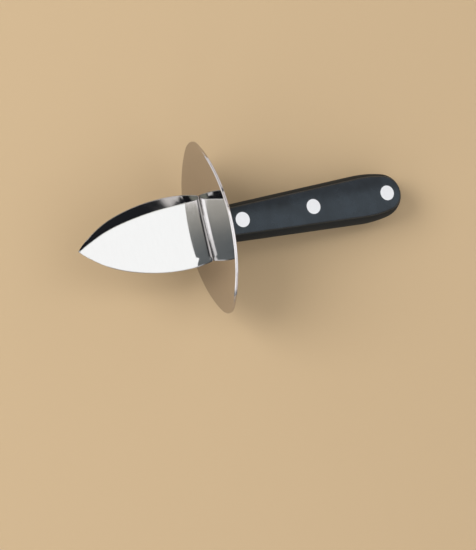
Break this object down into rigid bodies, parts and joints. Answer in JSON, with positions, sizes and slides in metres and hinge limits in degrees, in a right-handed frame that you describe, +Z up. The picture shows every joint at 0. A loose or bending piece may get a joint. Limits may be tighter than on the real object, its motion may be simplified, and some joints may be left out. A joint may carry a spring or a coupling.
{
  "type": "oyster knife",
  "caption": "Oyster knife with a short leaf-shaped bevelled blade, a domed oval hand guard and a flat-faced black handle held by rivets.",
  "frame": {"origin": "on the table, under the middle of the knife's bounding box, with the knife at rest on the guard's rim and the end of its handle", "axes": "+X along the knife towards the blade's tip, +Z up from the table, +Y across the blade; the blade rises towards its tip by 10.5 degrees"},
  "size_m": [0.1612, 0.0802, 0.0497],
  "materials": {
    "blade_steel": "polished",
    "guard_steel": "polished",
    "handle_plastic": "satin",
    "rivet_aluminium": "satin"
  },
  "bodies": {
    "root": {"blade": "blade_steel", "guard": "guard_steel", "handle_scale_upper": "handle_plastic", "handle_scale_lower": "handle_plastic", "front_rivet_pin": "rivet_aluminium", "front_rivet_sleeve": "rivet_aluminium", "middle_rivet_pin": "rivet_aluminium", "middle_rivet_sleeve": "rivet_aluminium", "rear_rivet_pin": "rivet_aluminium", "rear_rivet_sleeve": "rivet_aluminium"}
  },
  "joints": []
}
